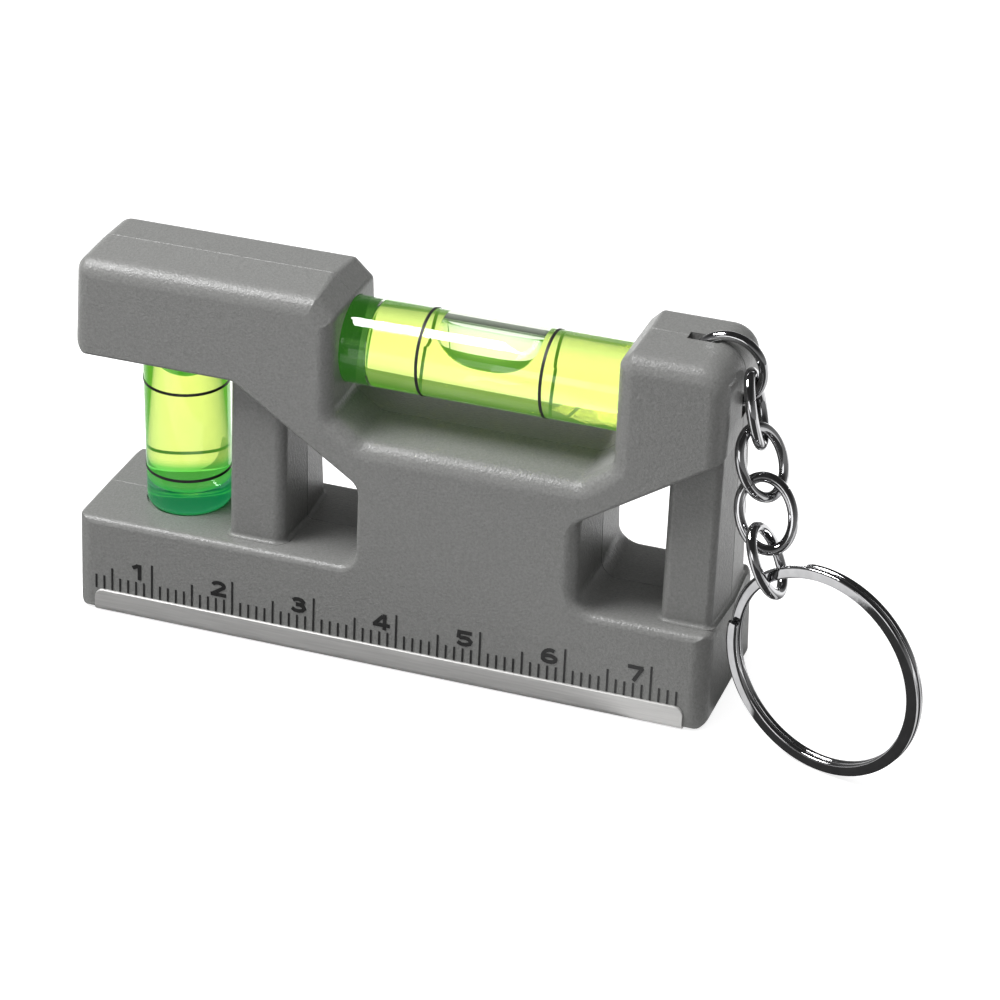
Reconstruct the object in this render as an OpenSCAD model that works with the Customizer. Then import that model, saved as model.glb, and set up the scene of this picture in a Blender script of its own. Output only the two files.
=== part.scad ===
// Pocket spirit level with a magnetic base and a key chain.
// Two moulded halves meet at the plane y = 0. They hold a level vial that lies along X
// and a plumb vial that stands along Z. A steel channel with a bar magnet closes the base.
// The origin is the middle of the base on its underside, +Z is up and the scale faces -Y.

/* [Body] */
// Length of the base bar along X
base_len = 76; // [70:0.5:80]
// Height of the top above the table
body_h = 43.5; // [40:0.5:47]
// Thickness of the body at its foot, front to back
body_depth = 19.4; // [18:0.2:22]
// Inward lean of the front and back faces, in degrees
face_lean = 3.7; // [2:0.1:5]
// Height of the ledge on top of the base bar
base_top = 11.75; // [11.5:0.05:12.5]
// Thickness of the upper arm
arm_t = 11.7; // [11:0.1:12.2]
// Length of the upper arm, from the left end to where the level vial starts to show
arm_len = 31; // [30.4:0.1:31.6]
// Length of the tower, from where the level vial ends to the right end
tower_len = 12.65; // [12:0.05:13]
// Depth of the saddle below the top
saddle_depth = 16; // [15.5:0.1:17]
// Length of the bay left of the middle block
left_bay = 34.4; // [33.8:0.1:35]
// Length of the bay right of the middle block
right_bay = 15.45; // [15:0.05:16]
// Length and height of the brace between the arm and the middle block
brace_len = 15.2; // [14:0.1:16]
brace_h = 9.9; // [9:0.1:11]
// Rounding of the front and back rims
rim_r = 2; // [1.4:0.1:2.2]
// Mould draft, as the total inset from the seam to a face
draft = 0.4; // [0.2:0.05:0.5]
// How far the two slim posts stand back from the faces
post_setback = 2.2; // [1.8:0.1:3]
// Distance of the left post from the left end
left_post_in = 17.8; // [17.2:0.1:18.6]
// Width of the left post
left_post_w = 7.3; // [6:0.1:7.6]
// Width of the right post, which stands at the right end
right_post_w = 6.6; // [5:0.1:6.8]

/* [Vials] */
// Outside diameter of both vials
vial_d = 9.9; // [9.4:0.1:10.2]
// Wall of both vials
vial_wall = 1.15; // [0.9:0.05:1.4]
// Free space between the saddle floor and the level vial
level_gap = 3.45; // [3:0.05:3.6]
// How deep each end of the level vial sits in the body
level_socket = 2.95; // [2.4:0.05:3.2]
// Length of the plug in the left end of the level vial
level_plug_len = 5.8; // [5:0.1:6.5]
// Distance between the two rings of the level vial
level_ring_pitch = 14.3; // [12:0.1:16]
// Length of the bubble in the level vial
bubble_len = 10.6; // [8:0.1:11]
// Depth of the bubble below the top of the liquid
bubble_depth = 3.2; // [2.5:0.1:3.6]
// Distance of the axis of the plumb vial from the left end
plumb_in = 10.4; // [9.8:0.1:11]
// How deep the plumb vial sits in the ledge
plumb_seat = 0.35; // [0.2:0.05:0.6]
// How deep the plumb vial reaches into the arm
plumb_socket = 6.2; // [5:0.1:7]
// Thickness of the bottom of the plumb vial
plumb_floor = 2.9; // [2:0.1:3.5]
// Distance between the two rings of the plumb vial
plumb_ring_pitch = 11.1; // [9:0.1:12]
// Height of the air above the liquid of the plumb vial
plumb_air = 3.2; // [2.5:0.1:4]
// Width of a printed ring
ring_w = 0.35; // [0.25:0.05:0.8]

/* [Base channel and magnet] */
// Distance of the steel channel from each end of the base
strip_in = 2.5; // [1.5:0.25:5]
// Height of its front and back walls
strip_h = 2.85; // [2.2:0.05:3.2]
// Thickness of the steel
strip_t = 0.5; // [0.4:0.05:0.7]
// How far the steel stands out of the plastic
strip_proud = 0.3; // [0.2:0.05:0.35]
// Rounding of the upper corners of its walls
strip_corner_r = 1; // [0.6:0.1:1.5]
// Length of the bar magnet above the channel
magnet_len = 60; // [50:1:64]
// Width of the bar magnet
magnet_w = 6.4; // [5:0.1:8]
// Height of the bar magnet
magnet_h = 4; // [3:0.1:5]

/* [Scale] */
// First mark, in millimetres of the scale
mark_first = 3; // [1:1:5]
// Shortest distance from the last mark to the right end
scale_margin = 3; // [2.5:0.5:6]
// Width of a mark
mark_w = 0.22; // [0.15:0.01:0.3]
// Length of a millimetre mark
mark_mm = 1.7; // [1.2:0.1:2]
// Length of a five millimetre mark
mark_half = 2.8; // [2.4:0.1:3.2]
// Length of a centimetre mark
mark_cm = 4.2; // [3.6:0.1:4.6]
// Height of a numeral
numeral_h = 1.95; // [1.6:0.05:2.1]
// Width of the pen stroke of a numeral
numeral_pen = 0.44; // [0.3:0.02:0.5]

/* [Key chain] */
// Wire of the jump ring in the tower
jump_wire = 1.1; // [0.9:0.05:1.2]
// Radius of the middle of that wire
jump_r = 3.93; // [3.8:0.01:4.1]
// Wire of the four links
link_wire = 1.2; // [1:0.05:1.3]
// Half width of a link, to the middle of its wire
link_a = 2.85; // [2.7:0.05:3]
// Half length of a link, to the middle of its wire
link_b = 4; // [3.8:0.05:4.2]
// Outside diameter of the split ring
split_d = 24.6; // [23:0.1:24.8]
// Breadth of its wire, along the radius
split_t = 1.38; // [1.2:0.02:1.6]
// Thickness of one turn, along the axis
split_turn = 0.74; // [0.6:0.02:0.8]

/* [Fits] */
// Gap all round a piece that is seated in the plastic
seat_gap = 0.04; // [0.02:0.01:0.06]
// Gap between two wires that hang in each other
wire_gap = 0.05; // [0.03:0.01:0.1]
// Gap between the split ring and the link that it hangs in
split_gap = 0.25; // [0.22:0.01:0.35]
// Radial play of the jump ring on its lug
lug_play = 0.09; // [0.05:0.01:0.1]
// Play of the jump ring in its groove, on each side
groove_play = 0.25; // [0.2:0.05:0.4]

/* [Hidden] */

// Colours, as red, green and blue
plastic_c = [0.43, 0.45, 0.46];
steel_c = [0.72, 0.72, 0.7];
magnet_c = [0.3, 0.3, 0.32];
clear_c = [0.8, 0.95, 0.3, 0.5];
fluid_c = [0.75, 1, 0.15, 0.8];
plug_c = [0.1, 0.45, 0.12];
print_c = [0.08, 0.08, 0.08];
chain_c = [0.5, 0.5, 0.52];

// Fineness of the true round surfaces
$fn = 64;

// Derived places
base_x = base_len / 2;
body_foot = strip_proud;
arm_under = body_h - arm_t;
arm_right = arm_len - base_x;
tower_left = base_x - tower_len;
saddle_floor = body_h - saddle_depth;
block_left = left_bay - base_x;
block_right = base_x - right_bay;
plumb_x = plumb_in - base_x;
strip_len = base_len - 2 * strip_in;
vial_r = vial_d / 2;
cavity_r = vial_r - vial_wall;
level_z = saddle_floor + level_gap + vial_r;
level_x0 = arm_right - level_socket;
level_x1 = tower_left + level_socket;
plumb_z0 = base_top - plumb_seat;
plumb_z1 = arm_under + plumb_socket;
lug_r = jump_r - jump_wire / 2 - lug_play;
jump_in = 2.1;
jump_drop = 3.3;
jump_at = [base_x - jump_in, 0, body_h - jump_drop];

// Half the thickness of the body at height z
function half_depth(z) = body_depth / 2 - (z - body_foot) * tan(face_lean);

// Outline of the body at the seam, anticlockwise seen from the front. Each corner is
// [x, z, corner radius, rim rounding of the edge that starts there, share of the draft].
// The right end leans in a little towards the top, and the arm stands out on the left.
end_taper = 0.15;
arm_overhang = 0.35;
arm_chamfer = 2.5;
tower_chamfer = 1.75;
saddle_slope = [3.2, 2.4];
strut_t = 4.65;
function right_end(z) = base_x - end_taper * z / body_h;
outline = [
    [-base_x, body_foot, 0.8, 0.3, 0],
    [base_x, body_foot, 0.8, rim_r, 0.1],
    [right_end(base_top), base_top, 1, 0.9, 0.1],
    [block_right, base_top, 2, 1.5, 1],
    [block_right, saddle_floor - strut_t, 1.2, 0.4, 0.1],
    [right_end(arm_under), arm_under + 0.8, 0.5, rim_r, 0.1],
    [right_end(body_h), body_h, 3.5, rim_r, 1],
    [tower_left + tower_chamfer, body_h, 1, rim_r, 0.1],
    [tower_left, body_h - tower_chamfer, 1, rim_r, 0.1],
    [tower_left, saddle_floor + saddle_slope[1], 1, rim_r, 0.1],
    [tower_left - saddle_slope[0], saddle_floor, 1.5, rim_r, 1],
    [arm_right + saddle_slope[0], saddle_floor, 1.5, rim_r, 0.1],
    [arm_right, saddle_floor + saddle_slope[1], 1.5, 1.7, 0.1],
    [arm_right, body_h - arm_chamfer, 1, rim_r, 0.1],
    [arm_right - arm_chamfer, body_h, 1, rim_r, 1],
    [-base_x, body_h, 2, rim_r, 0.1],
    [-base_x - arm_overhang, arm_under, 1.7, 0.4, 0.1],
    [block_left - brace_len, arm_under, 1, 0.4, 0.1],
    [block_left, arm_under - brace_h, 2, 0.5, 0.1],
    [block_left, base_top, 2, 0.8, 0.1],
    [-base_x, base_top, 0.6, rim_r, 0.1]
];

// Small vector helpers
function unit(v) = v / norm(v);
function wrap(list, i) = list[(i + len(list)) % len(list)];
function turn_angle(u, v) = atan2(u[0] * v[1] - u[1] * v[0], u * v);
function at(p) = [p[0], p[1]];

// Inset of a quarter-round rim of radius r where the wall still stands e below the face
function rim_drop(r, e) = e >= r ? 0 : r - sqrt(r * r - (r - e) * (r - e));
function inset(p, e) = rim_drop(p[3], e) + p[4] * draft * (1 - e * 2 / body_depth);

// Corner i of the outline, moved to where its two inset edges meet
function edge_dir(o, i) = unit(at(wrap(o, i + 1)) - at(wrap(o, i)));
function edge_in(o, i) = [-edge_dir(o, i)[1], edge_dir(o, i)[0]];
function met(o, i, d0, d1) =
    let (n0 = edge_in(o, i - 1), n1 = edge_in(o, i), k = n0[0] * n1[1] - n0[1] * n1[0])
    at(wrap(o, i)) + [d0 * n1[1] - d1 * n0[1], d1 * n0[0] - d0 * n1[0]] / k;

// Arc that rounds corner i, with a point for about each 18 degrees of turn
function corner_points(o, i, d0, d1) =
    let (u = edge_dir(o, i - 1), v = edge_dir(o, i), t = turn_angle(u, v),
         n = max(3, round(abs(t) / 18) + 1), s = sign(t),
         r = max(0.06, o[i][2] - s * max(d0, d1)),
         m = met(o, i, d0, d1), start = m - u * r * tan(abs(t) / 2),
         c = start + s * r * [-u[1], u[0]], a0 = atan2(start[1] - c[1], start[0] - c[0]))
    [for (k = [0 : n - 1]) c + r * [cos(a0 + t * k / (n - 1)), sin(a0 + t * k / (n - 1))]];
function inset_outline(o, e, on) =
    [for (i = [0 : len(o) - 1]) each corner_points(o, i,
        on * inset(wrap(o, i - 1), e), on * inset(o[i], e))];

// Triangles that fill a flat outline p, which runs anticlockwise. An ear is a corner whose
// triangle holds no other point, and one ear after another is cut off the ring of indices.
function area2(a, b, c) = (b[0] - a[0]) * (c[1] - a[1]) - (b[1] - a[1]) * (c[0] - a[0]);
function covers(a, b, c, q) = q != a && q != b && q != c
    && area2(a, b, q) >= 0 && area2(b, c, q) >= 0 && area2(c, a, q) >= 0;
function is_ear(p, a, b, c, ring) =
    area2(p[a], p[b], p[c]) > 0 && len([for (i = ring) if (covers(p[a], p[b], p[c], p[i])) i]) == 0;
function ear(p, ring, k) = k == len(ring) - 1
    || is_ear(p, wrap(ring, k - 1), ring[k], wrap(ring, k + 1), ring) ? k : ear(p, ring, k + 1);
function filled(p, ring, done = []) = len(ring) == 3 ? concat(done, [ring])
    : let (k = ear(p, ring, 0))
        filled(p, [for (i = [0 : len(ring) - 1]) if (i != k) ring[i]],
            concat(done, [[wrap(ring, k - 1), ring[k], wrap(ring, k + 1)]]));

// Front half of the moulded body, from a little past the seam to the leaning face. Its
// rim is a quarter round that is cut into slices of equal angle.
past_seam = 3;
rim_span = 2.2;
rim_steps = 6;
function rim_depth(k) = rim_span * (1 - sin(90 * k / rim_steps));
function level(o, e, on) = [for (p = inset_outline(o, e, on))
    [p[0], on == 0 ? past_seam : e - half_depth(p[1]), p[1]]];
function flat(points) = [for (p = points) [p[0], p[2]]];
module half_body() {
    levels = concat([level(outline, rim_span, 0)],
        [for (k = [0 : rim_steps]) level(outline, rim_depth(k), 1)]);
    n = len(levels[0]);
    last = len(levels) - 1;
    side = [for (k = [0 : last - 1], i = [0 : n - 1])
        each [[k * n + i, (k + 1) * n + i, (k + 1) * n + (i + 1) % n],
              [k * n + i, (k + 1) * n + (i + 1) % n, k * n + (i + 1) % n]]];
    seam_face = filled(flat(levels[0]), [for (i = [0 : n - 1]) i]);
    outer_face = [for (t = filled(flat(levels[last]), [for (i = [0 : n - 1]) i]))
        [last * n + t[2], last * n + t[1], last * n + t[0]]];
    polyhedron(points = [for (l = levels) each l],
        faces = concat(side, seam_face, outer_face), convexity = 6);
}

// Front half of a slim post between two bars, with its ends buried in them. Its profile
// is seen from above: the front corners are round and both sides have the mould draft.
post_bury = 0.8;
post_inset = 0.2;
module half_post(x0, x1, z1, r0, r1) {
    z0 = base_top - post_bury;
    front = half_depth(z0) - post_setback;
    deep = front + past_seam / 2;
    profile = [[x0 + draft, 0, r0], [x1 - draft, 0, r1], [x1, deep, 0.1], [x0, deep, 0.1]];
    translate([0, -front, z0]) rotate([-face_lean, 0, 0]) linear_extrude((z1 - z0) / cos(face_lean))
        polygon([for (i = [0 : 3]) each corner_points(profile, i, 0, 0)]);
}
module half_posts() {
    left_x = left_post_in - base_x;
    right_x = right_end(arm_under) - post_inset;
    half_post(left_x, left_x + left_post_w, arm_under + 2, 0.9, 1.3);
    half_post(right_x - right_post_w, right_x, arm_under + 4, 1, 0.8);
}

// A wire whose middle follows the closed or open list of points, with sides round it
function path_normal(p, i, closed) =
    let (a = closed ? wrap(p, i - 1) : p[max(i - 1, 0)],
         b = closed ? wrap(p, i + 1) : p[min(i + 1, len(p) - 1)])
    unit(b - a);
module sweep(path, frame, section, closed = true) {
    m = len(section);
    n = len(path);
    points = [for (i = [0 : n - 1])
        let (t = path_normal(path, i, closed), w = unit(cross(frame[1], t)))
        for (s = section) path[i] + s[0] * w + s[1] * frame[1]];
    rings = closed ? n : n - 1;
    side = [for (i = [0 : rings - 1], j = [0 : m - 1])
        each [[i * m + j, ((i + 1) % n) * m + j, ((i + 1) % n) * m + (j + 1) % m],
              [i * m + j, ((i + 1) % n) * m + (j + 1) % m, i * m + (j + 1) % m]]];
    ends = closed ? [] : [[for (j = [0 : m - 1]) j], [for (j = [m - 1 : -1 : 0]) (n - 1) * m + j]];
    polyhedron(points = points, faces = concat(side, ends), convexity = 6);
}

// Key chain: each wire loop lies in the plane of its own x and z axes. A frame is the
// list [x axis, y axis, z axis] that three angles give: tilt about X, swing about Y, twist.
function frame_of(tilt, swing, twist) =
    [for (v = [[cos(twist), sin(twist), 0], [-sin(twist), cos(twist), 0], [0, 0, 1]])
        let (p = [v[0], v[1] * cos(tilt) - v[2] * sin(tilt), v[1] * sin(tilt) + v[2] * cos(tilt)])
        [p[0] * cos(swing) + p[2] * sin(swing), p[1], p[2] * cos(swing) - p[0] * sin(swing)]];
function loop_point(f, a, b, t) = a * cos(t) * f[0] + b * sin(t) * f[2];
function loop_tangent(f, a, b, t) = unit(b * cos(t) * f[2] - a * sin(t) * f[0]);

// Middle of a loop that hangs in the loop above, where the two wires cross at the
// angles t_up and t_own round each of them. A loop is [middle, frame, a, b, wire].
function hang(up, f, a, b, wire, gap, t_up, t_own) =
    let (p = up[0] + loop_point(up[1], up[2], up[3], t_up),
         d = unit(cross(loop_tangent(up[1], up[2], up[3], t_up), loop_tangent(f, a, b, t_own))),
         inward = d * (up[0] - p) > 0 ? d : -d)
    [p + ((up[4] + wire) / 2 + gap) * inward - loop_point(f, a, b, t_own), f, a, b, wire];
function link(up, tilt, swing, twist, t_up, t_own) =
    hang(up, frame_of(tilt, swing, twist), link_a, link_b, link_wire, wire_gap, t_up, t_own);

jump_loop = [jump_at, frame_of(0, 0, 0), jump_r, jump_r, jump_wire];
link_1 = link(jump_loop, -8, -15, 98, 330, 32);
link_2 = link(link_1, -2, -22, 59, 213, 102);
link_3 = link(link_2, -19, -22, 19, 209, 118);
link_4 = link(link_3, 6, -24, 87, 272, 3);
split_r = split_d / 2 - split_t / 2;
split_loop = hang(link_4, frame_of(-9, -28, -17), split_r, split_r, split_t, split_gap, 206, 101);

// Front face: x is the place on the scale in millimetres, z the height above the table
scale_start = 0.4;
scale_zero = -base_x - scale_start;
print_gap = 0.01;
print_t = 0.05;
module on_face(x, z)
    translate([x, -half_depth(z), z]) rotate([90 - face_lean, 0, 0]) translate([0, 0, print_gap]) children();

// Space that the jump ring takes out of the tower
module jump_groove() {
    groove_half = jump_wire / 2 + groove_play;
    groove_out = 5.6;
    translate(jump_at) rotate([90, 0, 0]) rotate_extrude()
        translate([lug_r, -groove_half]) square([groove_out - lug_r, 2 * groove_half]);
}

// Spaces of the two vials
module level_socket_cut()
    translate([level_x0 - seat_gap, 0, level_z]) rotate([0, 90, 0])
        cylinder(r = vial_r + seat_gap, h = level_x1 - level_x0 + 2 * seat_gap);
module plumb_socket_cut()
    translate([plumb_x, 0, plumb_z0 - seat_gap])
        cylinder(r = vial_r + seat_gap, h = plumb_z1 - plumb_z0 + 2 * seat_gap);

// Steel channel as a solid block, grown by g, with leaning walls and rounded bends
function bend(w, z) = [for (a = [0:4]) [w - bend_r + bend_r * sin(22.5 * a), z + bend_r - bend_r * cos(22.5 * a)]];
function mirrored(points) = [for (i = [len(points) - 1:-1:0]) [-points[i][0], points[i][1]]];
bend_r = 0.8;
module channel_block(g, lower) {
    w0 = half_depth(body_foot) + strip_proud + g;
    w1 = half_depth(strip_h + g) + strip_proud + g;
    intersection() {
        translate([-strip_len / 2 - g, 0, 0]) rotate([90, 0, 90]) linear_extrude(strip_len + 2 * g)
            let (side = concat(bend(w0, lower), [[w1, strip_h + g]])) polygon(concat(side, mirrored(side)));
        rotate([90, 0, 0]) linear_extrude(2 * w0 + 2, center = true) {
            half = strip_len / 2 + g;
            r = strip_corner_r;
            translate([-half, lower - 1]) square([2 * half, strip_h + g - r - lower + 1]);
            translate([r - half, strip_h + g - r - 0.5]) square([2 * half - 2 * r, r + 0.5]);
            for (s = [-1, 1]) translate([s * (half - r), strip_h + g - r]) circle(r);
        }
    }
}
module channel_core(g) {
    w0 = half_depth(body_foot) + strip_proud - strip_t - g;
    w1 = half_depth(strip_h) + strip_proud - strip_t - g;
    translate([-strip_len / 2 - 1, 0, 0]) rotate([90, 0, 90]) linear_extrude(strip_len + 2)
        polygon([[-w0, strip_t + g], [w0, strip_t + g], [w1, strip_h + 1], [-w1, strip_h + 1]]);
}
module channel_cut() difference() {
    channel_block(seat_gap, -1);
    channel_core(seat_gap);
}
module magnet_block(g, lower)
    translate([-magnet_len / 2 - g, -magnet_w / 2 - g, strip_t + seat_gap - lower])
        cube([magnet_len + 2 * g, magnet_w + 2 * g, magnet_h + g + lower]);

// Dowels that line up the two halves
dowel_r = 1;
dowel_len = 2.5;
dowel_in = 4.5;
dowels = [[dowel_in - base_x, base_top / 2 + 1], [base_x - dowel_in, base_top / 2 + 1],
    [dowel_in - base_x, body_h - arm_t / 2], [(block_left + block_right) / 2, base_top + dowel_in]];
module dowel_row(r, len) for (d = dowels)
    translate([d[0], -1, d[1]]) rotate([-90, 0, 0]) cylinder(r = r, h = len + 1);

// Everything that is cut out of both halves
module body_cuts() {
    level_socket_cut();
    plumb_socket_cut();
    jump_groove();
    channel_cut();
    magnet_block(seat_gap, 0.2);
}

// One half up to the seam. Pegs of radius peg_r are left standing on the seam side.
module half_shell(peg_r) difference() {
    union() {
        half_body();
        half_posts();
    }
    difference() {
        translate([-base_len, 0, -1]) cube([2 * base_len, body_depth, body_h + 2]);
        if (peg_r > 0) dowel_row(peg_r, dowel_len);
    }
    body_cuts();
}

module front_shell() color(plastic_c) half_shell(dowel_r);

module rear_shell() color(plastic_c) difference() {
    mirror([0, 1, 0]) half_shell(0);
    dowel_row(dowel_r + seat_gap, dowel_len + seat_gap);
}

module steel_strip() color(steel_c) difference() {
    channel_block(0, 0);
    channel_core(0);
}

module magnet_bar() color(magnet_c) magnet_block(0, 0);

// Level vial: a tube with a closed right end and a plug in its left end
fluid_gap = 0.02;
level_bottom = 1.4;
level_fluid_x0 = level_x0 + level_plug_len;
level_fluid_x1 = level_x1 - level_bottom;
level_mid = (level_x0 + level_x1) / 2;
module horizontal_barrel() color(clear_c) difference() {
    translate([level_x0, 0, level_z]) rotate([0, 90, 0]) cylinder(r = vial_r, h = level_x1 - level_x0);
    translate([level_x0 - 1, 0, level_z]) rotate([0, 90, 0])
        cylinder(r = cavity_r, h = level_fluid_x1 - level_x0 + 1);
}
module horizontal_plug() color(plug_c)
    translate([level_x0, 0, level_z]) rotate([0, 90, 0])
        cylinder(r = cavity_r - fluid_gap, h = level_plug_len - fluid_gap);

// The bubble is a flat lens under the top of the tube: part of a large sphere
bubble_shift = 0.2;
bubble_r = (pow(bubble_len / 2, 2) + pow(bubble_depth, 2)) / (2 * bubble_depth);
module level_bubble()
    translate([level_mid + bubble_shift, 0, level_z + cavity_r - bubble_depth + bubble_r]) sphere(bubble_r);
module horizontal_fluid() color(fluid_c) difference() {
    translate([level_fluid_x0, 0, level_z]) rotate([0, 90, 0])
        cylinder(r = cavity_r - fluid_gap, h = level_fluid_x1 - level_fluid_x0 - fluid_gap);
    level_bubble();
}

// A ring that is printed round a vial
ring_t = 0.05;
module printed_ring() color(print_c) difference() {
    cylinder(r = vial_r + print_gap + ring_t, h = ring_w, center = true);
    cylinder(r = vial_r + print_gap, h = ring_w + 1, center = true);
}
module horizontal_ring_left()
    translate([level_mid - level_ring_pitch / 2, 0, level_z]) rotate([0, 90, 0]) printed_ring();
module horizontal_ring_right()
    translate([level_mid + level_ring_pitch / 2, 0, level_z]) rotate([0, 90, 0]) printed_ring();

// Plumb vial: a tube that is closed at its foot, with a rounded foot rim and a plug on top
plumb_rim_r = 1;
plumb_plug_len = 5.8;
plumb_fluid_z0 = plumb_z0 + plumb_floor;
plumb_fluid_z1 = plumb_z1 - plumb_plug_len;
plumb_ring_mid = (base_top + arm_under) / 2;
module vertical_barrel() color(clear_c) translate([plumb_x, 0, 0]) difference() {
    rotate_extrude() {
        translate([0, plumb_z0]) square([vial_r - plumb_rim_r, plumb_z1 - plumb_z0]);
        translate([0, plumb_z0 + plumb_rim_r]) square([vial_r, plumb_z1 - plumb_z0 - plumb_rim_r]);
        translate([vial_r - plumb_rim_r, plumb_z0 + plumb_rim_r]) circle(plumb_rim_r);
    }
    translate([0, 0, plumb_fluid_z0]) cylinder(r = cavity_r, h = plumb_z1);
}
module vertical_plug() color(plug_c)
    translate([plumb_x, 0, plumb_fluid_z1 + fluid_gap])
        cylinder(r = cavity_r - fluid_gap, h = plumb_plug_len - fluid_gap);

// The liquid of the plumb vial ends in a dish below the air
plumb_dish_r = 4.6;
module vertical_fluid() color(fluid_c) translate([plumb_x, 0, 0]) difference() {
    translate([0, 0, plumb_fluid_z0 + fluid_gap])
        cylinder(r = cavity_r - fluid_gap, h = plumb_fluid_z1 - plumb_fluid_z0 - fluid_gap);
    translate([0, 0, plumb_fluid_z1 - plumb_air + plumb_dish_r]) sphere(plumb_dish_r);
}
module vertical_ring_upper()
    translate([plumb_x, 0, plumb_ring_mid + plumb_ring_pitch / 2]) printed_ring();
module vertical_ring_lower()
    translate([plumb_x, 0, plumb_ring_mid - plumb_ring_pitch / 2]) printed_ring();

// Scale: a mark for each millimetre, longer at five and longest at ten
scale_foot = strip_h + 0.05;
mark_last = floor(base_len - scale_margin);
function mark_len(mm) = mm % 10 == 0 ? mark_cm : mm % 5 == 0 ? mark_half : mark_mm;
module scale_ticks() color(print_c) for (mm = [mark_first : mark_last])
    on_face(scale_zero + mm, scale_foot)
        translate([-mark_w / 2, 0, 0]) cube([mark_w, mark_len(mm), print_t]);

// Numerals are drawn with a pen of even width. Paths are in units of the numeral's height.
function arc(cx, cy, rx, ry, a0, a1, n = 7) =
    [for (k = [0 : n]) let (a = a0 + (a1 - a0) * k / n) [cx + rx * cos(a), cy + ry * sin(a)]];
function side_of(p, i) =
    let (a = unit(p[i] - p[max(i - 1, 0)] + (i == 0 ? p[1] - p[0] : [0, 0])),
         b = unit(p[min(i + 1, len(p) - 1)] - p[i] + (i == len(p) - 1 ? p[i] - p[i - 1] : [0, 0])),
         m = unit(a + b))
    [-m[1], m[0]] / max(0.6, m * a);
function pen_line(p, w) = concat(
    [for (i = [0 : len(p) - 1]) p[i] + side_of(p, i) * w / 2],
    [for (i = [len(p) - 1 : -1 : 0]) p[i] - side_of(p, i) * w / 2]);

pen = numeral_pen / numeral_h;
low = pen / 2;
high = 1 - pen / 2;
wide = 0.98;
one = [[[0.02, 0.74], [0.3, 0.88], [0.36, 0.98]], [[0.46, 1], [0.46, 0]]];
two = [concat(arc(0.48, 0.68, 0.36, high - 0.68, 165, -20), [[0.12, 0.13]]), [[0, low], [wide, low]]];
three = [arc(0.46, 0.71, 0.34, high - 0.71, 160, -110), arc(0.46, 0.325, 0.4, 0.325 - low, 110, -160)];
four = [[[0.62, high], [0.08, 0.3]], [[0, 0.3], [1.05, 0.3]], [[0.72, 1], [0.72, 0]]];
five = [[[0.9, high], [0.14, high], [0.1, 0.5]], arc(0.44, 0.34, 0.42, 0.34 - low, 130, -155)];
six = [arc(0.5, 0.32, 0.4, 0.32 - low, -10, 190), arc(0.5, 0.32, 0.4, 0.32 - low, 170, 370),
    arc(0.56, 0.42, 0.46, high - 0.42, 180, 60)];
seven = [[[0, high], [0.9, high]], [[0.86, 0.9], [0.36, 0]]];
numerals = [one, two, three, four, five, six, seven];
numeral_at = [7.55, 17.35, 27.2, 37.2, 47.25, 57.2, 67.3];
numeral_rise = 2;
module numeral(strokes) linear_extrude(print_t) for (s = strokes)
    scale(numeral_h) polygon(pen_line(s, pen));
module scale_numerals() color(print_c) for (i = [0 : min(len(numerals), floor(mark_last / 10)) - 1])
    on_face(scale_zero + numeral_at[i], scale_foot)
        translate([0, numeral_rise, 0]) numeral(numerals[i]);

module jump_ring() color(chain_c)
    translate(jump_at) rotate([90, 0, 0]) rotate_extrude() translate([jump_r, 0]) circle(jump_wire / 2);

wire_sides = 10;
link_steps = 44;
wire_section = [for (j = [0 : wire_sides - 1])
    link_wire / 2 * [cos(360 * j / wire_sides), sin(360 * j / wire_sides)]];
module chain_loop(loop) color(chain_c)
    sweep([for (i = [0 : link_steps - 1])
        loop[0] + loop_point(loop[1], loop[2], loop[3], 360 * i / link_steps)], loop[1], wire_section);
module chain_link_1() chain_loop(link_1);
module chain_link_2() chain_loop(link_2);
module chain_link_3() chain_loop(link_3);
module chain_link_4() chain_loop(link_4);

// Split ring: two turns that lie on each other and change places in one short step
split_play = 0.02;
split_start = 125;
split_step = 28;
split_steps = 56;
split_edge = 0.22;
function split_side(t) = let (s = min(max((t - 360 + split_step / 2) / split_step, 0), 1))
    (split_turn + split_play) * (s * s * (3 - 2 * s) - 0.5);
function flat_section(w, h, r) = [for (c = [[1, 1, 0], [-1, 1, 90], [-1, -1, 180], [1, -1, 270]], a = [15, 75])
    [c[0] * (w / 2 - r) + r * cos(c[2] + a), c[1] * (h / 2 - r) + r * sin(c[2] + a)]];
module split_ring() color(chain_c)
    sweep([for (i = [0 : 2 * split_steps - 3])
        let (t = 4 + 720 * i / (2 * split_steps))
        split_loop[0] + loop_point(split_loop[1], split_r, split_r, split_start + t)
            + split_side(t) * split_loop[1][1]],
        split_loop[1], flat_section(split_t, split_turn, split_edge), closed = false);

front_shell();
rear_shell();
steel_strip();
magnet_bar();
horizontal_barrel();
horizontal_plug();
horizontal_fluid();
horizontal_ring_left();
horizontal_ring_right();
vertical_barrel();
vertical_plug();
vertical_fluid();
vertical_ring_upper();
vertical_ring_lower();
scale_ticks();
scale_numerals();
jump_ring();
chain_link_1();
chain_link_2();
chain_link_3();
chain_link_4();
split_ring();
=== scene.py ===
"""Looks of the pocket spirit level: moulded grey body, green vials, steel channel, key chain."""

import math

import bmesh
import bpy
import numpy as np
from mathutils import Matrix, Vector


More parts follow.
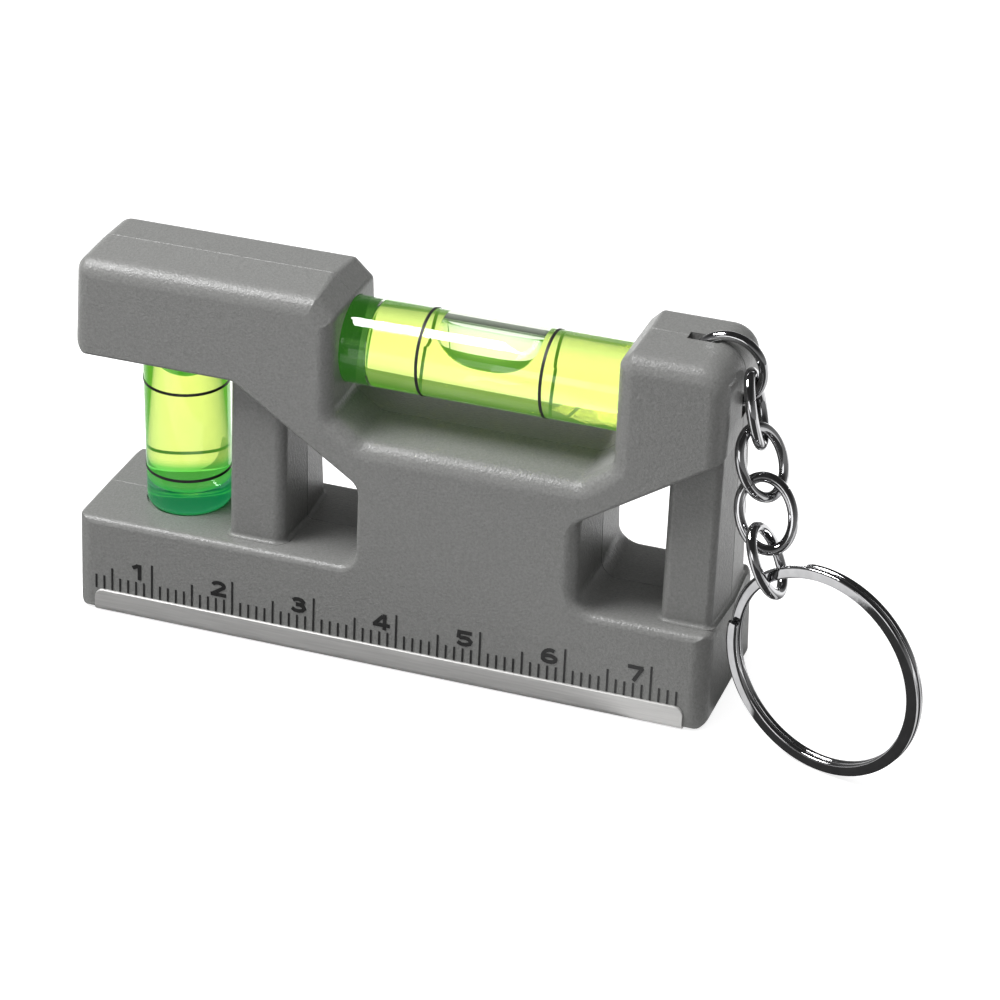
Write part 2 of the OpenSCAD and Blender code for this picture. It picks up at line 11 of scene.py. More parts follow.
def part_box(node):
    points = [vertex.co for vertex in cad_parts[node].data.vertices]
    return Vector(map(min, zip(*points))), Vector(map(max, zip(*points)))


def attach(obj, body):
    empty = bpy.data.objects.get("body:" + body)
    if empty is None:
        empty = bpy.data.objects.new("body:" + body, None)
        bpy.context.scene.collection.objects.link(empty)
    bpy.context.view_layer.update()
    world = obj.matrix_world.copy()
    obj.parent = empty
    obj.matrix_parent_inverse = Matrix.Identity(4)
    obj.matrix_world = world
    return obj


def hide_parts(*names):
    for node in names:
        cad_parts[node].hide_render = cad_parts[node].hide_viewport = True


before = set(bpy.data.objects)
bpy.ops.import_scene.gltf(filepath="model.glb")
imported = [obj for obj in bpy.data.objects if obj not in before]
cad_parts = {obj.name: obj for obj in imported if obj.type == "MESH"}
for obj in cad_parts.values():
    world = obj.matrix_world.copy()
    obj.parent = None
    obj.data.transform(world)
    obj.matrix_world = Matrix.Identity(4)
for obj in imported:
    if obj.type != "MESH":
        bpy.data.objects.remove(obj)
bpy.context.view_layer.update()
MM = 0.001

# Sizes in millimetres, as the part has them
BASE_X = 38.0
BODY_H = 43.5
BODY_DEPTH = 19.4
BODY_FOOT = 0.3
FACE_LEAN = math.tan(math.radians(3.7))
BASE_TOP = 11.75
ARM_UNDER = 31.8
ARM_RIGHT = -7.0
TOWER_LEFT = 25.35
SADDLE = 27.5
SADDLE_SLOPE = (3.2, 2.4)
BLOCK_LEFT = -3.6
BLOCK_RIGHT = 22.55
BRACE_LEN = 15.2
BRACE_H = 9.9
STRUT_T = 4.65
ARM_CHAMFER = 2.5
TOWER_CHAMFER = 1.75
ARM_OVERHANG = 0.35
END_TAPER = 0.15
RIM = 2.0
RIM_SPAN = 2.2
DRAFT = 0.4
POST_SETBACK = 2.2
POST_FOOT = 0.45
POST_ROOT = 0.8
# Each post: left x, right x, top z, radius of its left and of its right front edge
POSTS = ((-20.2, -12.9, ARM_UNDER + 2, 0.9, 1.3), (31.09, 37.69, ARM_UNDER + 4, 1.0, 0.8))
SEAM_CHAMFER = 0.08
SKIN = 0.015
# Corner radius where a corner is nearly sharp
CLOSE_R = 0.06
SEAT_GAP = 0.04
# Groove of the jump ring: how far it reaches inside and outside the ring's outer radius, and its half width
GROOVE_IN, GROOVE_OUT, GROOVE_HALF = 1.19, 1.12, 0.8
CAVITY_R = 3.8
OVERLAP = 0.02
SHEET = 0.5
SHEET_EDGE = 0.08
CORNER_R = 1.0
BEND_R = 0.8


def low(node):
    return np.array(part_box(node)[0]) / MM


def high(node):
    return np.array(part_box(node)[1]) / MM


def half_depth(z):
    return BODY_DEPTH / 2 - (z - BODY_FOOT) * FACE_LEAN


def right_end(z):
    return BASE_X - END_TAPER * z / BODY_H


def unit(v):
    return v / np.linalg.norm(v)


def turns(count):
    return np.linspace(0, 2 * math.pi, count, endpoint=False)


# Camera at the photograph's viewing angle
CAMERA_AT = (122.1, -325.9, 212.2)
CAMERA_YAW = math.radians(18.92)
CAMERA_DOWN = math.radians(29.30)
CAMERA_ROLL = math.radians(1.27)
CAMERA_LENS = 127.0


def make_camera():
    forward = Vector((-math.sin(CAMERA_YAW) * math.cos(CAMERA_DOWN),
                      math.cos(CAMERA_YAW) * math.cos(CAMERA_DOWN), -math.sin(CAMERA_DOWN)))
    right = Vector((math.cos(CAMERA_YAW), math.sin(CAMERA_YAW), 0))
    up = right.cross(forward)
    c, s = math.cos(CAMERA_ROLL), math.sin(CAMERA_ROLL)
    rolled_right = c * right + s * up
    rolled_up = c * up - s * right
    turn = Matrix((rolled_right, rolled_up, -forward)).transposed().to_4x4()
    data = bpy.data.cameras.new("camera")
    data.lens = CAMERA_LENS
    data.sensor_width = 36
    data.clip_end = 10
    camera = bpy.data.objects.new("camera", data)
    camera.matrix_world = Matrix.Translation(Vector(CAMERA_AT) * MM) @ turn
    bpy.context.scene.collection.objects.link(camera)
    bpy.context.scene.camera = camera


# Mesh helpers
def new_piece(name, points, faces, material):
    mesh = bpy.data.meshes.new(name)
    mesh.from_pydata([tuple(np.array(p) * MM) for p in points], [], faces)
    mesh.validate()
    piece = bpy.data.objects.new(name, mesh)
    bpy.context.scene.collection.objects.link(piece)
    mesh.materials.append(material)
    return piece


def fix_normals(piece):
    bm = bmesh.new()
    bm.from_mesh(piece.data)
    bmesh.ops.remove_doubles(bm, verts=bm.verts, dist=1e-7)
    bmesh.ops.recalc_face_normals(bm, faces=bm.faces)
    bm.to_mesh(piece.data)
    bm.free()


def smooth(piece, angle):
    piece.data.shade_smooth()
    piece.data.set_sharp_from_angle(angle=math.radians(angle))


def weighted(piece):
    shade = piece.modifiers.new("shade", "WEIGHTED_NORMAL")
    shade.keep_sharp = True
    shade.weight = 90


def combine(piece, others, operation):
    """Join the other solids to the piece, or cut them out of it."""
    for other in others:
        mod = piece.modifiers.new("combine", "BOOLEAN")
        mod.operation = operation
        mod.solver = "EXACT"
        mod.object = other
    graph = bpy.context.evaluated_depsgraph_get()
    mesh = bpy.data.meshes.new_from_object(piece.evaluated_get(graph))
    old = piece.data
    piece.modifiers.clear()
    piece.data = mesh
    bpy.data.meshes.remove(old)
    for other in others:
        bpy.data.objects.remove(other)


def finish_piece(piece, body, node, angle):
    smooth(piece, angle)
    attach(piece, body)
    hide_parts(node)


def loft(name, levels, material):
    """Closed solid through levels that all have the same number of points."""
    n = len(levels[0])
    points = [p for level in levels for p in level]
    faces = []
    for k in range(len(levels) - 1):
        for i in range(n):
            j = (i + 1) % n
            faces.append((k * n + i, (k + 1) * n + i, (k + 1) * n + j, k * n + j))
    faces.append(tuple(range(n)))
    faces.append(tuple((len(levels) - 1) * n + i for i in reversed(range(n))))
    piece = new_piece(name, points, faces, material)
    fix_normals(piece)
    return piece


def sweep(name, centres, sides, sections, material, closed=True):
    """Wire along centres. sides holds the two unit vectors of the section at each centre."""
    m, n = len(sections[0]), len(centres)
    points = [c + s[0] * u + s[1] * v for c, (u, v), section in zip(centres, sides, sections)
              for s in section]
    faces = []
    for i in range(n if closed else n - 1):
        for j in range(m):
            a, b = i * m + j, i * m + (j + 1) % m
            faces.append((a, b, ((i + 1) % n) * m + (j + 1) % m, ((i + 1) % n) * m + j))
    if not closed:
        faces.append(tuple(range(m)))
        faces.append(tuple((n - 1) * m + j for j in reversed(range(m))))
    piece = new_piece(name, points, faces, material)
    fix_normals(piece)
    return piece


def revolve(name, profile, axis, at, material, steps=96):
    """Closed solid of revolution. The profile holds (along, radius) from one end to the other."""
    along = np.array([1.0, 0, 0]) if axis == "x" else np.array([0, 0, 1.0])
    u = np.array([0, 1.0, 0])
    v = np.cross(along, u)
    levels = [[np.array(at) + a * along + r * (math.cos(t) * u + math.sin(t) * v) for t in turns(steps)]
              for a, r in profile]
    return loft(name, levels, material)


# Node material helpers
class Nodes:
    """A material and short ways to build its node tree."""

    def __init__(self, name):
        self.material = bpy.data.materials.new(name)
        self.material.use_nodes = True
        self.tree = self.material.node_tree
        self.shader = self.tree.nodes["Principled BSDF"]

    def add(self, kind):
        return self.tree.nodes.new(kind)

    def link(self, a, b):
        self.tree.links.new(a, b)

    def set(self, **values):
        for key, value in values.items():
            self.shader.inputs[key.replace("_", " ")].default_value = value

    def coords(self, scale=(1.0, 1.0, 1.0)):
        """Object coordinates in millimetres, stretched by scale."""
        place = self.add("ShaderNodeTexCoord")
        mapping = self.add("ShaderNodeMapping")
        mapping.inputs["Scale"].default_value = tuple(s / MM for s in scale)
        self.link(place.outputs["Object"], mapping.inputs["Vector"])
        return mapping.outputs["Vector"]

    def noise(self, vector, scale, detail=2.0, roughness=0.5):
        node = self.add("ShaderNodeTexNoise")
        node.inputs["Scale"].default_value = scale
        node.inputs["Detail"].default_value = detail
        node.inputs["Roughness"].default_value = roughness
        self.link(vector, node.inputs["Vector"])
        return node.outputs["Fac"]

    def ramp(self, factor, stops, target):
        node = self.add("ShaderNodeValToRGB")
        ramp = node.color_ramp
        while len(ramp.elements) < len(stops):
            ramp.elements.new(0.5)
        for element, (place, colour) in zip(ramp.elements, stops):
            element.position = place
            element.color = (*colour, 1.0)
        self.link(factor, node.inputs["Fac"])
        self.link(node.outputs["Color"], self.shader.inputs[target])

    def bump(self, height, strength, distance):
        node = self.add("ShaderNodeBump")
        node.inputs["Strength"].default_value = strength
        node.inputs["Distance"].default_value = distance
        self.link(height, node.inputs["Height"])
        self.link(node.outputs["Normal"], self.shader.inputs["Normal"])


def grey(v):
    return (v, v, v)


def toned(colour, k):
    return tuple(k * c for c in colour)


# Colours are linear. The density is per metre, the bump distances are in metres, and FOOT_SPAN is two
# heights in millimetres. The glows of the barrel, the liquid and the plug are each a colour and a strength.
PLASTIC_TONE = (0.183, 0.184, 0.179)
STEEL_TONE = (0.60, 0.595, 0.585)
CHAIN_TONE = (0.56, 0.56, 0.57)
BARREL_TINT = (0.955, 0.99, 0.91)
LIQUID_TINT = (0.92, 0.97, 0.88)
LIQUID_DYE = (0.93, 0.865, 0.0)
LIQUID_DENSITY = 160
# The foot's deep green and its glow are painted: they stand in for the green liquid seen through the clear
# foot
FOOT_PAINTED_GREEN = (0.12, 0.50, 0.26)
FOOT_PAINTED_GLOW = (0.0, 0.07, 0.025)
FOOT_SPAN = (14.4, 15.4)
PLUG_TINT = (0.30, 0.58, 0.16)
# Painted glow: the barrel, the liquid and the plug emit light in place of the light that passes through the
# green vial
BARREL_PAINTED_GLOW = (0.3, 1.0, 0.1), 0.01
LIQUID_PAINTED_GLOW = (0.32, 1.0, 0.12), 0.10
PLUG_PAINTED_GLOW = (0.20, 1.0, 0.15), 0.04
PLASTIC_IOR, ACRYLIC_IOR, LIQUID_IOR = 1.46, 1.49, 1.45
GRAIN_BUMP, BRUSH_BUMP, WIRE_BUMP, FERRITE_BUMP = 0.00008, 0.00003, 0.00004, 0.00003


def plastic_material():
    m = Nodes("body_plastic")
    at = m.coords()
    m.set(IOR=PLASTIC_IOR, Specular_IOR_Level=0.5)
    m.ramp(m.noise(at, 3.4, 4.0, 0.7), [(0.3, toned(PLASTIC_TONE, 0.84)), (0.7, toned(PLASTIC_TONE, 1.16))],
           "Base Color")
    m.ramp(m.noise(at, 1.3, 4.0), [(0.25, grey(0.28)), (0.75, grey(0.38))], "Roughness")
    m.bump(m.noise(at, 3.0, 3.0, 0.65), 0.9, GRAIN_BUMP)
    return m.material


def steel_material():
    m = Nodes("strip_steel")
    lines = m.noise(m.coords((0.05, 1.0, 1.6)), 3.0, 4.0, 0.6)
    m.set(Metallic=0.55)
    m.ramp(lines, [(0.3, toned(STEEL_TONE, 0.9)), (0.7, toned(STEEL_TONE, 1.08))], "Base Color")
    m.ramp(lines, [(0.2, grey(0.44)), (0.8, grey(0.56))], "Roughness")
    m.bump(lines, 0.2, BRUSH_BUMP)
    return m.material


def chain_material():
    m = Nodes("chain_metal")
    at = m.coords()
    m.set(Metallic=1.0)
    spots = m.noise(at, 0.8, 3.0)
    m.ramp(spots, [(0.3, toned(CHAIN_TONE, 0.9)), (0.7, toned(CHAIN_TONE, 1.06))], "Base Color")
    m.ramp(spots, [(0.3, grey(0.04)), (0.75, grey(0.10))], "Roughness")
    m.bump(m.noise(at, 1.6, 2.0), 0.12, WIRE_BUMP)
    return m.material


def print_material():
    m = Nodes("black_print")
    speck = m.noise(m.coords(), 6.0, 3.0)
    m.ramp(speck, [(0.35, grey(0.010)), (0.8, grey(0.024))], "Base Color")
    m.ramp(speck, [(0.3, grey(0.38)), (0.7, grey(0.5))], "Roughness")
    return m.material


def magnet_material():
    m = Nodes("magnet")
    at = m.coords()
    m.ramp(m.noise(at, 2.0, 4.0), [(0.3, grey(0.02)), (0.7, grey(0.045))], "Base Color")
    m.ramp(m.noise(at, 1.0, 2.0), [(0.3, grey(0.6)), (0.7, grey(0.75))], "Roughness")
    m.bump(m.noise(at, 5.0, 3.0), 0.3, FERRITE_BUMP)
    return m.material


def clear_nodes(name, ior, strength):
    """Clear plastic or liquid without its colours. Also returns the slow swirl in it."""
    m = Nodes(name)
    swirl = m.noise(m.coords(), 0.22, 2.0)
    m.set(Transmission_Weight=1.0, IOR=ior, Emission_Strength=strength)
    m.ramp(swirl, [(0.3, grey(0.0)), (0.7, grey(0.012))], "Roughness")
    return m, swirl


def clear_material(name, tint, ior, glow):
    """Clear plastic or liquid with a tint and a weak painted glow: emission that stands in for light coming
    through the vial.
    """
    colour, strength = glow
    m, swirl = clear_nodes(name, ior, strength)
    m.set(Emission_Color=(*colour, 1.0))
    m.ramp(swirl, [(0.3, toned(tint, 0.985)), (0.7, tint)], "Base Color")
    return m


def liquid_material():
    m = clear_material("vial_liquid", LIQUID_TINT, LIQUID_IOR, LIQUID_PAINTED_GLOW)
    dye = m.add("ShaderNodeVolumeAbsorption")
    dye.inputs["Color"].default_value = (*LIQUID_DYE, 1.0)
    dye.inputs["Density"].default_value = LIQUID_DENSITY
    m.link(dye.outputs[0], m.tree.nodes["Material Output"].inputs["Volume"])
    return m.material


def footed_material():
    """The plumb tube: clear above. Its solid foot has a painted deep green and a painted glow in place of the
    green liquid seen through it.
    """
    m, _ = clear_nodes("vial_clear_foot", ACRYLIC_IOR, 1.0)
    place = m.add("ShaderNodeSeparateXYZ")
    m.link(m.coords(), place.inputs[0])
    share = m.add("ShaderNodeMapRange")
    for name, value in (("From Min", FOOT_SPAN[0]), ("From Max", FOOT_SPAN[1])):
        share.inputs[name].default_value = value
    m.link(place.outputs["Z"], share.inputs["Value"])
    # Painted green and painted glow in the foot, fading out to the clear tint over FOOT_SPAN
    m.ramp(share.outputs["Result"], [(0.0, FOOT_PAINTED_GREEN), (1.0, BARREL_TINT)], "Base Color")
    m.ramp(share.outputs["Result"], [(0.0, FOOT_PAINTED_GLOW), (1.0, toned(FOOT_PAINTED_GLOW, 0.05))], "Emission Color")
    return m.material


make_camera()
PLASTIC = plastic_material()
STEEL = steel_material()
CHAIN = chain_material()
PRINT = print_material()
MAGNET = magnet_material()
BARREL = clear_material("vial_clear", BARREL_TINT, ACRYLIC_IOR, BARREL_PAINTED_GLOW).material
FOOTED = footed_material()
LIQUID = liquid_material()
PLUG = clear_material("vial_plug", PLUG_TINT, ACRYLIC_IOR, PLUG_PAINTED_GLOW).material


# Body halves. Each corner is x, z, corner radius, rim radius of the edge after it, draft share.
OUTLINE = [
    (-BASE_X, BODY_FOOT, 0.8, 0.3, 0),
    (BASE_X, BODY_FOOT, 0.8, RIM, 0.1),
    (right_end(BASE_TOP), BASE_TOP, 1, 0.9, 0.1),
    (BLOCK_RIGHT, BASE_TOP, 2, 1.5, 1),
    (BLOCK_RIGHT, SADDLE - STRUT_T, 1.2, 0.4, 0.1),
    (right_end(ARM_UNDER), ARM_UNDER + 0.8, 0.5, RIM, 0.1),
    (right_end(BODY_H), BODY_H, 3.5, RIM, 1),
    (TOWER_LEFT + TOWER_CHAMFER, BODY_H, 1, RIM, 0.1),
    (TOWER_LEFT, BODY_H - TOWER_CHAMFER, 1, RIM, 0.1),
    (TOWER_LEFT, SADDLE + SADDLE_SLOPE[1], 1, RIM, 0.1),
    (TOWER_LEFT - SADDLE_SLOPE[0], SADDLE, 1.5, RIM, 1),
    (ARM_RIGHT + SADDLE_SLOPE[0], SADDLE, 1.5, RIM, 0.1),
    (ARM_RIGHT, SADDLE + SADDLE_SLOPE[1], 1.5, 1.7, 0.1),
    (ARM_RIGHT, BODY_H - ARM_CHAMFER, 1, RIM, 0.1),
    (ARM_RIGHT - ARM_CHAMFER, BODY_H, 1, RIM, 1),
    (-BASE_X, BODY_H, 2, RIM, 0.1),
    (-BASE_X - ARM_OVERHANG, ARM_UNDER, 1.7, 0.4, 0.1),
    (BLOCK_LEFT - BRACE_LEN, ARM_UNDER, 1, 0.4, 0.1),
    (BLOCK_LEFT, ARM_UNDER - BRACE_H, 2, 0.5, 0.1),
    (BLOCK_LEFT, BASE_TOP, 2, 0.8, 0.1),
    (-BASE_X, BASE_TOP, 0.6, RIM, 0.1)]


def corner_arc(outline, i, d0, d1, step=8.0):
    """Points of corner i after its two edges moved inwards by d0 and d1."""
    n = len(outline)
    p, q, r = (np.array(outline[(i + k) % n][:2]) for k in (-1, 0, 1))
    u, v = unit(q - p), unit(r - q)
    nu, nv = np.array([-u[1], u[0]]), np.array([-v[1], v[0]])
    k = nu[0] * nv[1] - nu[1] * nv[0]
    met = q + np.array([d0 * nv[1] - d1 * nu[1], d1 * nu[0] - d0 * nv[0]]) / k
    turn = math.atan2(u[0] * v[1] - u[1] * v[0], float(u @ v))
    s = math.copysign(1, turn)
    radius = max(CLOSE_R, outline[i][2] - s * max(d0, d1))
    start = met - u * radius * math.tan(abs(turn) / 2)
    centre = start + s * radius * nu
    a0 = math.atan2(start[1] - centre[1], start[0] - centre[0])
    count = max(4, round(abs(math.degrees(turn)) / step) + 1)
    return [centre + radius * np.array([math.cos(a0 + turn * t), math.sin(a0 + turn * t)])
            for t in np.linspace(0, 1, count)]


def rim_drop(r, e):
    """How far a rim of radius r has drawn the outline in at depth e behind the face."""
    return 0.0 if e >= r else r - math.sqrt(r * r - (r - e) ** 2)


def body_half(name, side, rim_steps=10):
    """Outline lofted from the seam to the face. side is 1 in front and -1 behind."""

    def level(inset_of, depth_of):
        points = []
        for i in range(len(OUTLINE)):
            arc = corner_arc(OUTLINE, i, SKIN + inset_of(OUTLINE[i - 1]), SKIN + inset_of(OUTLINE[i]))
            points += [(p[0], side * depth_of(p[1]), p[1]) for p in arc]
        return points

    levels = [level(lambda c: SEAM_CHAMFER, lambda z: 0.0),
              level(lambda c: 0.0, lambda z: -SEAM_CHAMFER)]
    for k in range(rim_steps + 1):
        e = RIM_SPAN * (1 - math.sin(math.pi / 2 * k / rim_steps))
        levels.append(level(lambda c: rim_drop(c[3], e) + c[4] * DRAFT * (1 - 2 * e / BODY_DEPTH),
                            lambda z: e - half_depth(z)))
    return loft(name, levels, PLASTIC)


def post(name, side, x0, x1, top, r0, r1):
    """Slim post that runs into the ledge with a small fillet."""
    levels = []
    heights = [BASE_TOP - POST_ROOT]
    heights += [BASE_TOP + POST_FOOT * (1 - math.cos(a)) for a in np.linspace(0, math.pi / 2, 7)]
    for z in heights + [top]:
        h = max(0.0, z - BASE_TOP)
        flare = POST_FOOT - math.sqrt(POST_FOOT ** 2 - (POST_FOOT - h) ** 2) if h < POST_FOOT else 0.0
        front = half_depth(z) - POST_SETBACK + flare
        profile = [(x0 + DRAFT - flare, -front, r0 + flare), (x1 - DRAFT + flare, -front, r1 + flare),
                   (x1 + flare, -SEAM_CHAMFER, CLOSE_R), (x1 + flare - SEAM_CHAMFER, 0, CLOSE_R),
                   (x0 - flare + SEAM_CHAMFER, 0, CLOSE_R), (x0 - flare, -SEAM_CHAMFER, CLOSE_R)]
        levels.append([(p[0], side * p[1], z) for i in range(len(profile))
                       for p in corner_arc(profile, i, 0, 0)])
    return loft(name, levels, PLASTIC)


def socket_tools():
    """Solids of the two vial sockets and the groove of the jump ring."""
    x0, x1 = low("horizontal_barrel"), high("horizontal_barrel")
    z0, z1 = low("vertical_barrel"), high("vertical_barrel")
    r = (x1[1] - x0[1]) / 2 + SEAT_GAP
    level_z = (x0[2] + x1[2]) / 2
    plumb_x = (z0[0] + z1[0]) / 2
    tools = [revolve("tool_a", [(0, r), (x1[0] - x0[0] + 2 * SEAT_GAP, r)], "x",
                     (x0[0] - SEAT_GAP, 0, level_z), PLASTIC),
             revolve("tool_b", [(0, r), (z1[2] - z0[2] + 2 * SEAT_GAP, r)], "z",
                     (plumb_x, 0, z0[2] - SEAT_GAP), PLASTIC)]
    ring_low, ring_high = low("jump_ring"), high("jump_ring")
    ring_at = (ring_low + ring_high) / 2
    ring_out = (ring_high[0] - ring_low[0]) / 2
    middle, half = ring_out + (GROOVE_OUT - GROOVE_IN) / 2, (GROOVE_IN + GROOVE_OUT) / 2
    outward = [np.array([math.cos(t), 0, math.sin(t)]) for t in turns(96)]
    section = [(half, GROOVE_HALF), (-half, GROOVE_HALF), (-half, -GROOVE_HALF), (half, -GROOVE_HALF)]
    tools.append(sweep("tool_c", [ring_at + middle * d for d in outward],
                       [(d, np.array([0, 1.0, 0])) for d in outward], [section] * len(outward), PLASTIC))
    return tools


def make_body():
    for node, side in (("front_shell", 1), ("rear_shell", -1)):
        half = body_half("body_" + node, side)
        combine(half, [post("post", side, *sizes) for sizes in POSTS], "UNION")
        combine(half, socket_tools(), "DIFFERENCE")
        finish_piece(half, "base", node, 42)
        weighted(half)


# Steel channel: a folded sheet whose walls have round upper corners
def make_channel():
    a, b = low("steel_strip"), high("steel_strip")
    wall_top, foot = b[2], b[1]
    edge, inner_r = SHEET_EDGE, BEND_R - SHEET
    stations = [CORNER_R * (1 - math.cos(t)) for t in np.linspace(0, math.pi / 2, 10)]
    levels = []
    for x in [a[0] + s for s in stations] + [b[0] - s for s in reversed(stations)]:
        inside = min(x - a[0], b[0] - x, CORNER_R)
        top = wall_top - CORNER_R + math.sqrt(max(0.0, CORNER_R ** 2 - (CORNER_R - inside) ** 2))
        bends = np.linspace(0, math.pi / 2, 8)
        outer = [(foot - BEND_R + BEND_R * math.cos(t), BEND_R - BEND_R * math.sin(t)) for t in bends]
        inner = [(foot - BEND_R + inner_r * math.cos(t), BEND_R - inner_r * math.sin(t)) for t in bends]
        face = foot - FACE_LEAN * top
        wall = [(face - SHEET, top - edge), (face - SHEET + edge, top),
                (face - edge, top), (face, top - edge)]
        right = inner[::-1] + wall + outer
        levels.append([(x, y, z) for y, z in right] + [(x, -y, z) for y, z in reversed(right)])
    strip = loft("steel_channel", levels, STEEL)
    finish_piece(strip, "base", "steel_strip", 35)


# Vials: a tube with a cavity, a plug in one end, and the liquid with its bubble.
# A rounding of three points has its size and how far its middle point lies from the corner.
LEVEL_BOTTOM, LEVEL_FOOT_R = 1.4, 0.35
PLUMB_BOTTOM, PLUMB_FOOT_R = 2.9, 1.0
CAVITY_ROUND, CAVITY_MID = 0.3, 0.09
END_ROUND, END_MID = 0.2, 0.06
MOUTH_BEVEL, PLUG_BEVEL = 0.1, 0.3


def vial_solids(prefix, axis, plug_first, bottom, foot_r):
    """Tube and plug. plug_first tells that the plug is at the low end of the axis.

    Returns the origin of the profile, the liquid's start and end along it, and the liquid's radius.
    """
    k = 0 if axis == "x" else 2
    a, b = low(prefix + "_barrel"), high(prefix + "_barrel")
    fluid = low(prefix + "_fluid")[k], high(prefix + "_fluid")[k]
    length, r = b[k] - a[k], (b[1] - a[1]) / 2
    at = (a + b) / 2
    at[k] = a[k] if plug_first else b[k]
    way = 1 if plug_first else -1

    def along(profile):
        return [(way * s, q) for s, q in profile]

    r_in, end = CAVITY_R, length - bottom
    tube = [(end, r_in - CAVITY_ROUND), (end - CAVITY_MID, r_in - CAVITY_MID), (end - CAVITY_ROUND, r_in),
            (MOUTH_BEVEL, r_in), (0, r_in + MOUTH_BEVEL),
            (0, r - END_ROUND), (END_MID, r - END_MID), (END_ROUND, r)]
    tube += [(length - foot_r + foot_r * math.sin(t), r - foot_r + foot_r * math.cos(t))
             for t in np.linspace(0, math.pi / 2, 8)]
    barrel = revolve(prefix + "_tube", along(tube), axis, at, BARREL if plug_first else FOOTED)
    finish_piece(barrel, "base", prefix + "_barrel", 40)

    plug_len = fluid[0] - a[k] if plug_first else b[k] - fluid[1]
    fit = r_in + OVERLAP
    shape = [(0, fit - PLUG_BEVEL), (PLUG_BEVEL, fit), (plug_len - END_ROUND, fit),
             (plug_len - END_MID, fit - END_MID), (plug_len + OVERLAP, fit - END_ROUND)]
    plug = revolve(prefix + "_stopper", along(shape), axis, at, PLUG)
    finish_piece(plug, "base", prefix + "_plug", 30)
    return at, plug_len, end, fit


def far_end(end, fit):
    """Rounded end of the liquid at the bottom of the cavity."""
    return [(end - CAVITY_ROUND, fit), (end - CAVITY_MID, fit - CAVITY_MID),
            (end + OVERLAP, fit - CAVITY_ROUND)]


# Bubble of the level vial: middle and half length along x, depth in the middle, how far the underside rises
# towards BUBBLE_WALL on each side, and the two powers that set how round it is
BUBBLE_MIDDLE = 9.375
BUBBLE_HALF = 5.9
BUBBLE_DEPTH = 4.4
BUBBLE_RISE = 2.8
BUBBLE_WALL = 3.1
BUBBLE_ROUND = 2.4
BUBBLE_POWER = 2.6


def bubble_tool(at):
    """Air under the top of the tube: round below, with steep ends."""
    across, above, top = CAVITY_R + 0.25, 0.35, CAVITY_R + 0.6
    xs = [BUBBLE_HALF * math.sin(t) for t in np.linspace(-math.pi / 2, math.pi / 2, 65)]
    ys = np.linspace(-across, across, 41)
    points, faces = [], []
    for x in xs:
        share = (1 - min(1.0, abs(x) / BUBBLE_HALF) ** BUBBLE_POWER) ** (1 / BUBBLE_POWER)
        for y in ys:
            rise = BUBBLE_RISE * (abs(y) / BUBBLE_WALL) ** BUBBLE_ROUND
            z = CAVITY_R + above - (BUBBLE_DEPTH + above) * share + rise * share
            points.append((BUBBLE_MIDDLE + x, y, at[2] + min(z, top - 0.05)))
    m = len(ys)
    count = len(points)
    for x in xs:
        points += [(BUBBLE_MIDDLE + x, y, at[2] + top) for y in ys]
    for i in range(len(xs) - 1):
        for j in range(m - 1):
            q = (i * m + j, i * m + j + 1, (i + 1) * m + j + 1, (i + 1) * m + j)
            faces += [q, tuple(count + v for v in reversed(q))]
        for j in (0, m - 1):
            faces.append((i * m + j, (i + 1) * m + j, count + (i + 1) * m + j, count + i * m + j))
    for i in (0, len(xs) - 1):
        for j in range(m - 1):
            faces.append((i * m + j, i * m + j + 1, count + i * m + j + 1, count + i * m + j))
    tool = new_piece("tool_bubble", points, faces, LIQUID)
    fix_normals(tool)
    return tool


def make_level_vial():
    at, start, end, fit = vial_solids("horizontal", "x", True, LEVEL_BOTTOM, LEVEL_FOOT_R)
    profile = [(start, fit - END_ROUND), (start + END_MID, fit - END_MID), (start + END_ROUND, fit)]
    profile += far_end(end, fit)
    liquid = revolve("horizontal_liquid", profile, "x", at, LIQUID)
    combine(liquid, [bubble_tool(at)], "DIFFERENCE")
    finish_piece(liquid, "base", "horizontal_fluid", 40)


# Air of the plumb vial: its height, and the radius of the dish under it
PLUMB_AIR = 3.0
PLUMB_DISH_R = 2.9


def make_plumb_vial():
    at, start, end, fit = vial_solids("vertical", "z", False, PLUMB_BOTTOM, PLUMB_FOOT_R)
    dish = [(start + PLUMB_AIR - PLUMB_DISH_R * (1 - math.sin(t)), PLUMB_DISH_R * math.cos(t))
            for t in np.linspace(math.pi / 2 - 0.02, 0, 24)]
    profile = dish + [(start, PLUMB_DISH_R), (start, fit)] + far_end(end, fit)
    liquid = revolve("vertical_liquid", [(-s, q) for s, q in profile], "z", at, LIQUID)
    finish_piece(liquid, "base", "vertical_fluid", 40)


# Key chain: each loop lies in the plane of its own x and z axes and hangs in the one above.
# LINKS and SPLIT_HANG: tilt, swing and twist of the loop, then the place of the touch on the loop above
# and on the loop itself. JOINTS_AT: the butt joint of each link. All in degrees.
JUMP_AT = np.array([35.9, 0, 40.2])
JUMP_R, JUMP_WIRE = 3.925, 1.1
LINK_A, LINK_B, LINK_WIRE = 2.85, 4.0, 1.2
WIRE_GAP, SPLIT_GAP = 0.05, 0.25
SPLIT_D, SPLIT_T, SPLIT_TURN = 24.576, 1.38, 0.74
LINKS = ((-8, -15, 98, 330, 32), (-2, -22, 59, 213, 102), (-19, -22, 19, 209, 118), (6, -24, 87, 272, 3))
SPLIT_HANG = (-9, -28, -17, 206, 101)
JOINTS_AT = (155, 200, 30, 200)
JOINT_GAP, JOINT_DEPTH = 0.05, 0.09
# Split ring: where its turns are counted from, the ends, and the step in which they change places, in degrees
SPLIT_FROM, SPLIT_ENDS, SPLIT_STEP = 125, (18, 670), 40
SPLIT_SEAM, END_BEVEL, END_BEVEL_SPAN = 0.02, 0.16, 2.5


